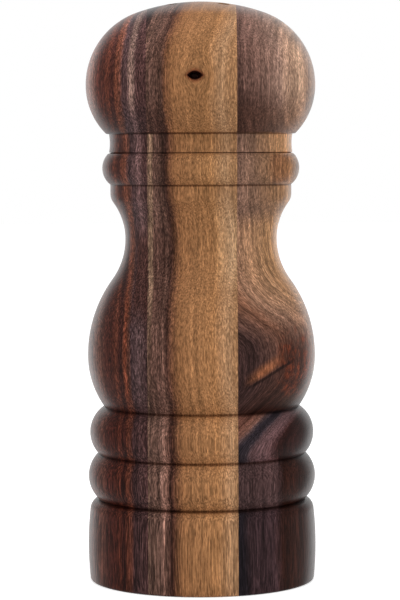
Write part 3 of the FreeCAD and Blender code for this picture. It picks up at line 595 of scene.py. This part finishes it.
slope = calc(tree, "MULTIPLY_ADD", across, -0.55, height)
in_front = fade(tree, depth, -14.0, -3.0, 1.0, 0.0)
patch_side = both(tree, band(tree, across, (10.0, 16.0), (16.0, 23.0)), in_front)
patch_foot = fade(tree, calc(tree, "MULTIPLY_ADD", sway, 0.8, slope), 46.2, 48.0)
patch_top = fade(tree, calc(tree, "MULTIPLY_ADD", sway, 1.4, slope), 47.6, 51.0, 1.0, 0.0)
orange_patch = both(tree, patch_side, both(tree, patch_foot, patch_top))
tone = over(tree, orange_patch, tone, stain(158, 98, 66))
blotch = figure(tree, place, (0.42, 0.42, 0.3), detail=4.0, roughness=0.7)
red_side = both(tree, fade(tree, across, 18.0, 23.0), in_front)
red_reach = both(tree, band(tree, height, (48.0, 53.0), (60.0, 72.0)), red_side)
tone = over(tree, both(tree, red_reach, 0.85), tone, stain(58, 28, 20))
tone = over(tree, both(tree, red_reach, fade(tree, blotch, 0.46, 0.62)), tone, stain(118, 58, 38))
crack = soft_line(tree, calc(tree, "MULTIPLY_ADD", sway, 0.5, slope), 46.2, 0.2, 0.6, 0.8)
crack_side = both(tree, band(tree, across, (11.0, 14.0), (22.0, 25.0)), in_front)
tone = over(tree, both(tree, crack, crack_side), tone, stain(34, 20, 17))
oiled(tree, shader, place, growth, tone, streaks=0.9, flecks=1.3, pores=0.4)

body_outline = bmesh.new()
first = body_outline.verts.new(at(foot_inner))
heel = pen = straight(body_outline, first, foot_outer)
pen = curve(body_outline, pen, ring_centre(foot_outer, base_crown, base_shoulder), base_shoulder)
pen = curve(body_outline, pen, crown_centre(base_shoulder, lower_groove), lower_groove)
pen = curve(body_outline, pen, ring_centre(lower_groove, lower_ring, middle_groove), middle_groove)
pen = curve(body_outline, pen, ring_centre(middle_groove, upper_ring, upper_groove), upper_groove)
pen = curve(body_outline, pen, crown_centre(belly, upper_groove), belly)
pen = curve(body_outline, pen, crown_centre(belly, belly_to_waist), belly_to_waist)
pen = curve(body_outline, pen, crown_centre(waist, belly_to_waist), waist)
pen = curve(body_outline, pen, crown_centre(waist, waist_to_neck), waist_to_neck)
pen = curve(body_outline, pen, crown_centre(neck, waist_to_neck), neck)
pen = straight(body_outline, pen, bead_foot)
bead_corner = pen = curve(body_outline, pen, ring_centre(bead_foot, bead_crown, bead_edge), bead_edge)
pen = straight(body_outline, pen, parting_face)
pen = straight(body_outline, pen, spigot_foot)
spigot_corner = pen = straight(body_outline, pen, spigot_rim)
bore_corner = pen = straight(body_outline, pen, bore_rim)
for corner in (bore_foot, grinder_seat, grinder_foot, recess_roof):
    pen = straight(body_outline, pen, corner)
recess_corner = pen = straight(body_outline, pen, recess_rim)
body_outline.edges.new((pen, first))
eased(body_outline, [first, heel], heel_ease)
eased(body_outline, [bead_corner, spigot_corner, bore_corner, recess_corner], rim_ease)
turned_body = turned(body_outline)

left_plane = Vector((left_glue_x * mm, 0, 0))
right_plane = Vector((right_glue_x * mm, 0, 0))
middle_plane = Vector((0, 0, 0))
to_left, to_right = Vector((-1, 0, 0)), Vector((1, 0, 0))
to_front, to_back = Vector((0, -1, 0)), Vector((0, 1, 0))
between_glue = [(left_plane, to_left), (right_plane, to_right)]
body_shares = [
    ("left", heartwood_left, "heartwood_left", [(left_plane, to_right)]),
    ("front", sapwood_centre, "sapwood_centre", between_glue + [(middle_plane, to_back)]),
    ("back", sapwood_centre, "sapwood_centre", between_glue + [(middle_plane, to_front)]),
    ("right", heartwood_right, "heartwood_right", [(right_plane, to_left)]),
]
for side, finish, slot_name, planes in body_shares:
    piece = finished("turned_body_" + side, sawn(turned_body, planes), finish)
    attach(piece, "mill_body")
    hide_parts("body_board_" + side)
turned_body.free()

# Grinder ring and burr: sintered and hardened steel, ground on the lathe, so their faces carry fine rings
# and a brown tint from the furnace. The ring sits in the counterbore of the body, and the burr on the shaft
# inside it.
worked_metal, given, result = effect(
    "worked_metal",
    [("Place", "Vector"), ("Tone", "Color"), ("Film", "Color"), ("Turned", "Float"), ("Drawn", "Vector"),
     ("Spots", "Float")],
    [("Color", "Color"), ("Roughness", "Float"), ("Height", "Float")],
)
tree = worked_metal
turned_out = calc(tree, "MULTIPLY", from_axis(tree, given["Place"]), given["Turned"])
turned_up = calc(tree, "MULTIPLY", axes_of(tree, given["Place"])[2], given["Turned"])
lathe_place = node(tree, "CombineXYZ", {0: turned_out, 2: turned_up}).outputs[0]
mark_place = node(tree, "VectorMath", {0: given["Place"], 1: given["Drawn"], 2: lathe_place},
                  operation="MULTIPLY_ADD").outputs[0]
marks = clouds(tree, mark_place, 1.0, detail=3.0, roughness=0.65)
film = clouds(tree, given["Place"], 0.28, detail=3.0, roughness=0.6)
spots = clouds(tree, given["Place"], 2.6, detail=3.0, roughness=0.7)
spot_mask = calc(tree, "MULTIPLY", fade(tree, spots, 0.5, 0.66), given["Spots"])
mark_light = fade(tree, marks, 0.25, 0.75, 0.72, 1.12)
marked = node(tree, "VectorMath", {0: given["Tone"], "Scale": mark_light}, operation="SCALE").outputs[0]
filmed = over(tree, fade(tree, film, 0.38, 0.66, 0.0, 0.7), marked, given["Film"])
tree.links.new(tinted(tree, spot_mask, filmed, (0.5, 0.46, 0.42)), result["Color"])
rough = calc(tree, "MULTIPLY_ADD", marks, 0.22, calc(tree, "MULTIPLY_ADD", film, 0.2, 0.12))
tree.links.new(calc(tree, "MULTIPLY_ADD", spot_mask, 0.2, rough), result["Roughness"])
tree.links.new(calc(tree, "SUBTRACT", marks, calc(tree, "MULTIPLY", spot_mask, 0.5)), result["Height"])


def metal(name, tone, film, turned, drawn, spots):
    """A bare or plated metal. Turned counts lathe marks per mm, drawn the marks per mm along each axis."""
    finish, tree, shader = bare(name)
    shader.inputs["Metallic"].default_value = 1.0
    work = placed(tree, worked_metal, {
        "Place": place_in_mm(tree), "Tone": (*tone, 1.0), "Film": (*film, 1.0),
        "Turned": turned, "Drawn": drawn, "Spots": spots,
    })
    tree.links.new(work["Color"], shader.inputs["Base Color"])
    tree.links.new(work["Roughness"], shader.inputs["Roughness"])
    bumped(tree, shader, work["Height"], strength=0.3, depth=0.03)
    return finish


def clad(finish, *names):
    """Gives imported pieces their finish."""
    for name in names:
        for place in nodes[name].material_slots:
            place.material = finish


burr_steel = metal("burr_steel", tone=(0.30, 0.30, 0.31), film=(0.24, 0.20, 0.18),
                   turned=3.0, drawn=(0.0, 0.0, 0.0), spots=0.8)
clad(burr_steel, "grinder_ring", "male_burr")

# Bearing bridge, cover plate, drive plate and burr washer: pressed from sheet steel and zinc plated, so they
# carry the rolling marks of the sheet under a faintly yellow film. Screws or the burr hold them.
plated_steel = metal("plated_steel", tone=(0.62, 0.62, 0.61), film=(0.58, 0.55, 0.47),
                     turned=0.0, drawn=(0.35, 3.2, 1.0), spots=0.35)
clad(plated_steel, "bearing_bridge", "cover_plate", "drive_plate", "burr_washer")

# Screws: small slotted wood screws, cold headed from steel wire and plated.
# They are driven up into the wood around the plates.
screw_steel = metal("screw_steel", tone=(0.55, 0.55, 0.54), film=(0.46, 0.44, 0.40),
                    turned=0.0, drawn=(1.6, 1.6, 3.0), spots=0.6)
clad(screw_steel, "plate_screws", "drive_plate_screws")

# Spring and clip: bent from hard drawn steel wire, with a dull grey skin. The spring pushes the burr down
# against its nut, and the clip holds the head down on the shaft.
spring_steel = metal("spring_steel", tone=(0.42, 0.42, 0.43), film=(0.34, 0.33, 0.33),
                     turned=1.5, drawn=(0.6, 0.6, 0.6), spots=0.5)
clad(spring_steel, "shaft_clip")
wire_radius = 0.5
wire_sides = 16
coil_turns = 4
steps_per_turn = 40
coil_steps = coil_turns * steps_per_turn
coil_low, coil_high = (Vector(corner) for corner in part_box("burr_spring"))
coil_rise = coil_high.z - coil_low.z - 2 * wire_radius * mm
wire_end = Vector((coil_high.x - wire_radius * mm, 0, coil_low.z + wire_radius * mm))
coil = bmesh.new()
bmesh.ops.create_circle(coil, segments=wire_sides, radius=wire_radius * mm,
                        matrix=Matrix.Translation(wire_end) @ Matrix.Rotation(math.pi / 2, 4, "X"))
bmesh.ops.spin(coil, geom=coil.verts[:] + coil.edges[:], cent=(0, 0, 0), axis=(0, 0, 1),
               dvec=(0, 0, coil_rise / coil_steps), angle=2 * math.pi * coil_turns, steps=coil_steps)
bmesh.ops.holes_fill(coil, edges=[e for e in coil.edges if e.is_boundary], sides=0)
bmesh.ops.recalc_face_normals(coil, faces=coil.faces[:])
coiled_spring = finished("coiled_spring", coil, spring_steel)
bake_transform(coiled_spring)
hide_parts("burr_spring")

# Drive shaft: a square aluminium bar, drawn through a die that leaves long scratches, with its lower end
# turned down and threaded for the adjuster.
shaft_aluminium = metal("shaft_aluminium", tone=(0.72, 0.72, 0.73), film=(0.60, 0.60, 0.60),
                        turned=0.0, drawn=(4.5, 4.5, 0.1), spots=0.25)
clad(shaft_aluminium, "drive_shaft")

# Bush and nut: turned from brass rod, a little browned.
# The bush is pressed into the bridge, the nut into the knob.
bush_brass = metal("bush_brass", tone=(0.66, 0.50, 0.24), film=(0.48, 0.33, 0.15),
                   turned=2.6, drawn=(0.0, 0.0, 0.0), spots=0.5)
clad(bush_brass, "shaft_bush", "adjuster_nut")

# Thrust washer: punched from white nylon sheet.
# It lies between the shaft's shoulder and the bush and takes the shaft's load.
nylon_white = (0.74, 0.73, 0.68)
nylon_worn = (0.62, 0.59, 0.51)


def moulded(name, tone, worn, grain_per_mm, rough):
    """A moulded or punched plastic, with a fine skin, and a little wear in its tone. Rough holds the
    roughness of its least and its most worn places."""
    finish, tree, shader = bare(name)
    place = place_in_mm(tree)
    skin = clouds(tree, place, grain_per_mm, detail=2.0, roughness=0.6)
    wear = clouds(tree, place, 0.35, detail=4.0, roughness=0.65)
    worn_mask = both(tree, fade(tree, wear, 0.42, 0.68), fade(tree, skin, 0.3, 0.7, 0.4, 1.0))
    tree.links.new(over(tree, worn_mask, (*tone, 1.0), (*worn, 1.0)), shader.inputs["Base Color"])
    tree.links.new(fade(tree, wear, 0.3, 0.7, *rough), shader.inputs["Roughness"])
    bumped(tree, shader, skin, strength=0.4, depth=0.04)
    return finish, shader


washer_nylon, shader = moulded("washer_nylon", nylon_white, nylon_worn, grain_per_mm=3.0, rough=(0.38, 0.55))
shader.inputs["Subsurface Weight"].default_value = 0.25
shader.inputs["Subsurface Radius"].default_value = (0.001, 0.0009, 0.0008)
clad(washer_nylon, "thrust_washer")

# Adjuster knob: moulded in black plastic with a fluted rim and a fine spark-eroded skin, a little polished
# by fingers. The nut that is pressed into it screws onto the end of the shaft.
knob_black = (0.026, 0.026, 0.027)
knob_worn = (0.05, 0.048, 0.046)
knob_plastic = moulded("knob_plastic", knob_black, knob_worn, grain_per_mm=6.0, rough=(0.36, 0.58))[0]
clad(knob_plastic, "adjuster_knob")

# Head boards: the dome and its collar are turned from the same glued blank, so the boards and their figure
# carry on from the body. The middle board has an open pin knot in front, and four pouring holes drilled
# through the top.
collar_foot = (24.0, 112.3)
collar_hollow = (23.76, 114.725)
collar_top = (24.0, 117.15)
dome_foot = (24.7, 117.15)
equator = (29.99, 129.8)
dome_top = (0.0, 151.49)
crown_radius = 50.3
chamber_roof = (0.0, 145.3)
chamber_corner = (15.0, 145.3)
chamber_foot = (15.0, 125.05)
floor_seat = (16.5, 125.05)
floor_foot = (16.5, 118.05)
socket_roof = (18.3, 118.05)
socket_foot = (18.3, 112.9)
socket_mouth = (18.9, 112.3)
collar_ease = 0.25
dome_rise = dome_top[1] - equator[1]
shoulder_run = 2 * dome_rise * crown_radius - equator[0] ** 2 - dome_rise**2
shoulder_radius = shoulder_run / (2 * (crown_radius - equator[0]))
dome_centre = (0.0, dome_top[1] - crown_radius)
dome_lean = math.atan2(equator[0] - shoulder_radius, equator[1] - dome_centre[1])
shoulder = (crown_radius * math.sin(dome_lean), dome_centre[1] + crown_radius * math.cos(dome_lean))

head_outline = bmesh.new()
first = pen = head_outline.verts.new(at(collar_foot))
pen = curve(head_outline, pen, ring_centre(collar_foot, collar_hollow, collar_top), collar_top)
dome_corner = pen = straight(head_outline, pen, dome_foot)
pen = curve(head_outline, pen, crown_centre(equator, dome_foot), equator)
pen = curve(head_outline, pen, crown_centre(equator, shoulder), shoulder)
pen = curve(head_outline, pen, dome_centre, dome_top)
pen = head_outline.verts.new(at(chamber_roof))
for corner in (chamber_corner, chamber_foot, floor_seat, floor_foot, socket_roof, socket_foot, socket_mouth):
    pen = straight(head_outline, pen, corner)
head_outline.edges.new((pen, first))
eased(head_outline, [first, dome_corner], collar_ease)
turned_head = turned(head_outline)


def drilled(shape, bit):
    """A shape with another cut out of it."""
    blanks = []
    for part in (shape, bit):
        mesh = bpy.data.meshes.new("blank")
        part.to_mesh(mesh)
        part.free()
        blanks.append(bpy.data.objects.new("blank", mesh))
        bpy.context.scene.collection.objects.link(blanks[-1])
    cut = blanks[0].modifiers.new("cut", "BOOLEAN")
    cut.object = blanks[1]
    cut.solver = "EXACT"
    worked = blanks[0].evaluated_get(bpy.context.evaluated_depsgraph_get())
    left_over = bpy.data.meshes.new_from_object(worked)
    result = bmesh.new()
    result.from_mesh(left_over)
    for blank in blanks:
        mesh = blank.data
        bpy.data.objects.remove(blank)
        bpy.data.meshes.remove(mesh)
    bpy.data.meshes.remove(left_over)
    return result


drill_level = 147.5
drill_length = 11.0
rim_inset = 0.2
rim_flare = 0.8
rim_depth = 1.0
hole_sides = 48
pour_level = dome_centre[1] + math.sqrt(crown_radius**2 - pour_circle**2)
pour_slope = math.asin(pour_circle / crown_radius)
drill = bmesh.new()
countersink = bmesh.new()
for angle in pour_angles:
    turn = Matrix.Rotation(math.radians(angle), 4, "Z")
    hole_place = turn @ Matrix.Translation((pour_circle * mm, 0, drill_level * mm))
    bmesh.ops.create_cone(drill, cap_ends=True, segments=hole_sides, radius1=pour_radius * mm,
                          radius2=pour_radius * mm, depth=drill_length * mm, matrix=hole_place)
    rim_place = turn @ Matrix.Translation((pour_circle * mm, 0, pour_level * mm))
    rim_place = rim_place @ Matrix.Rotation(pour_slope, 4, "Y")
    bmesh.ops.create_cone(countersink, cap_ends=True, segments=hole_sides,
                          radius1=(pour_radius - rim_inset) * mm, radius2=(pour_radius + rim_flare) * mm,
                          depth=rim_depth * mm, matrix=rim_place)

knot_front = -30.6
knot_depth = 4.4
knot_taper = 0.4
knot_weld = 0.01
lid_steps = 14
knot = bmesh.new()
half_width, half_height = knot_size[0] / 2, knot_size[1] / 2
lid_radius = (half_width**2 + half_height**2) / (2 * half_height)
lid_turn = 2 * math.asin(half_width / lid_radius)
corner = knot.verts.new((-half_width * mm, 0, 0))
for side in (1, -1):
    swung = bmesh.ops.spin(knot, geom=[corner], cent=(0, 0, side * (half_height - lid_radius) * mm),
                           axis=(0, 1, 0), angle=lid_turn, steps=lid_steps)
    corner = verts_of(swung["geom_last"])[0]
bmesh.ops.remove_doubles(knot, verts=knot.verts[:], dist=knot_weld * mm)
mouth = bmesh.ops.contextual_create(knot, geom=knot.edges[:])["faces"]
pit_floor = verts_of(bmesh.ops.extrude_face_region(knot, geom=mouth)["geom"])
bmesh.ops.scale(knot, vec=(knot_taper, 1, knot_taper), verts=pit_floor)
bmesh.ops.translate(knot, vec=(0, knot_depth * mm, 0), verts=pit_floor)
bmesh.ops.translate(knot, vec=(knot_place[0] * mm, knot_front * mm, knot_place[1] * mm), verts=knot.verts[:])
bmesh.ops.recalc_face_normals(knot, faces=knot.faces[:])

head_shares = [
    ("left", heartwood_left, "heartwood_left", [(left_plane, to_right)]),
    ("centre", sapwood_centre, "sapwood_centre", between_glue),
    ("right", heartwood_right, "heartwood_right", [(right_plane, to_left)]),
]
for side, finish, slot_name, planes in head_shares:
    share = sawn(turned_head, planes)
    if side == "centre":
        share = drilled(drilled(drilled(share, drill), countersink), knot)
    piece = finished("turned_head_" + side, share, finish)
    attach(piece, "head")
    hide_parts("head_board_" + side)
turned_head.free()

# Chamber floor: a disc of plain hardwood with a filling hole.
# It is turned to a push fit, glued into the head and oiled.
floor_wood, tree, shader, place, sway = wood("floor_wood")[:5]
across, depth = axes_of(tree, place)[:2]
growth = calc(tree, "ADD", calc(tree, "MULTIPLY_ADD", depth, 0.4, across), sway)
tone = toned(tree, growth, [
    (-20.0, 140, 96, 62), (-12.0, 156, 112, 74), (-5.0, 146, 100, 64), (-1.0, 162, 118, 80),
    (5.0, 144, 98, 62), (11.0, 158, 113, 75), (20.0, 142, 98, 64),
])
oiled(tree, shader, place, growth, tone, streaks=0.35, flecks=0.45, pores=0.6)
clad(floor_wood, "chamber_floor")

# Salt stopper: moulded in cloudy white silicone.
# It is pushed up into the filling hole, and has a tab to pull it by.
silicone_white = (0.68, 0.66, 0.62)
silicone_worn = (0.60, 0.57, 0.50)
stopper_silicone, shader = moulded("stopper_silicone", silicone_white, silicone_worn,
                                   grain_per_mm=4.0, rough=(0.3, 0.5))
shader.inputs["Subsurface Weight"].default_value = 0.5
shader.inputs["Subsurface Radius"].default_value = (0.003, 0.0026, 0.0022)
clad(stopper_silicone, "salt_stopper")

# Studio: a pale floor, white all round, soft light from above and in front, and the photograph's view.
# The floor can be seen through from below.
floor_drop = 0.1
floor_reach_m = 3.0
floor_glow = 0.65


def seen_by_camera(tree, rays):
    """The rays that show a thing to the camera: straight, by gloss or through glass."""
    return either(tree, rays["Is Camera Ray"], rays["Is Glossy Ray"], rays["Is Transmission Ray"])


floor_shape = bmesh.new()
bmesh.ops.create_grid(floor_shape, x_segments=1, y_segments=1, size=floor_reach_m,
                      matrix=Matrix.Translation((0, 0, -floor_drop * mm)))
floor_paint, tree, shader = bare("studio_floor")
shader.inputs["Base Color"].default_value = (0.8, 0.8, 0.8, 1.0)
shader.inputs["Roughness"].default_value = 0.9
seen = seen_by_camera(tree, node(tree, "LightPath").outputs)
strength = calc(tree, "MULTIPLY", seen, floor_glow)
glow = node(tree, "Emission", {"Color": (1.0, 1.0, 1.0, 1.0), "Strength": strength}).outputs[0]
painted = node(tree, "AddShader", {0: shader.outputs[0], 1: glow}).outputs[0]
below = node(tree, "NewGeometry").outputs["Backfacing"]
one_sided = node(tree, "MixShader", {0: below, 1: painted, 2: node(tree, "BsdfTransparent").outputs[0]})
tree.links.new(one_sided.outputs[0], tree.nodes["Material Output"].inputs["Surface"])
floor = finished("studio_floor", floor_shape, floor_paint)

surround_light = 0.55
world = bpy.data.worlds.new("studio_white")
bpy.context.scene.world = world
world.use_nodes = True
tree = world.node_tree
rays = node(tree, "LightPath").outputs
background = tree.nodes["Background"]
background.inputs["Color"].default_value = (1.0, 1.0, 1.0, 1.0)
sky_height = axes_of(tree, node(tree, "TexCoord").outputs["Generated"])[2]
backdrop = fade(tree, sky_height, 0.1, 0.6, 1.0, 0.35)
mirrored = both(tree, seen_by_camera(tree, rays), backdrop)
shown = either(tree, rays["Is Camera Ray"], mirrored, surround_light)
tree.links.new(shown, background.inputs["Strength"])

for name, place_m, aim_m, size_m, watts in (
    ("overhead_softbox", (0.0, -0.15, 0.75), (0.0, 0.0, 0.08), 0.7, 2.2),
    ("front_softbox", (-0.1, -0.9, 0.5), (0.0, 0.0, 0.07), 0.8, 2.0),
):
    light = bpy.data.lights.new(name, "AREA")
    light.size = size_m
    light.energy = watts
    lamp = bpy.data.objects.new(name, light)
    lamp.location = place_m
    lamp.rotation_euler = (Vector(aim_m) - Vector(place_m)).to_track_quat("-Z", "Y").to_euler()
    bpy.context.scene.collection.objects.link(lamp)

look_down = 0.062
camera_roll = math.radians(0.22)
lens = bpy.data.cameras.new("photo_view")
lens.sensor_fit = "VERTICAL"
lens.sensor_height = 24.0
lens.lens = 98.36
camera = bpy.data.objects.new("photo_view", lens)
camera.location = (-0.00018, -0.645, 0.1136)
camera.rotation_euler = (math.pi / 2 - look_down, camera_roll, 0.0)
bpy.context.scene.collection.objects.link(camera)
bpy.context.scene.camera = camera
bpy.context.scene.view_settings.view_transform = "Standard"
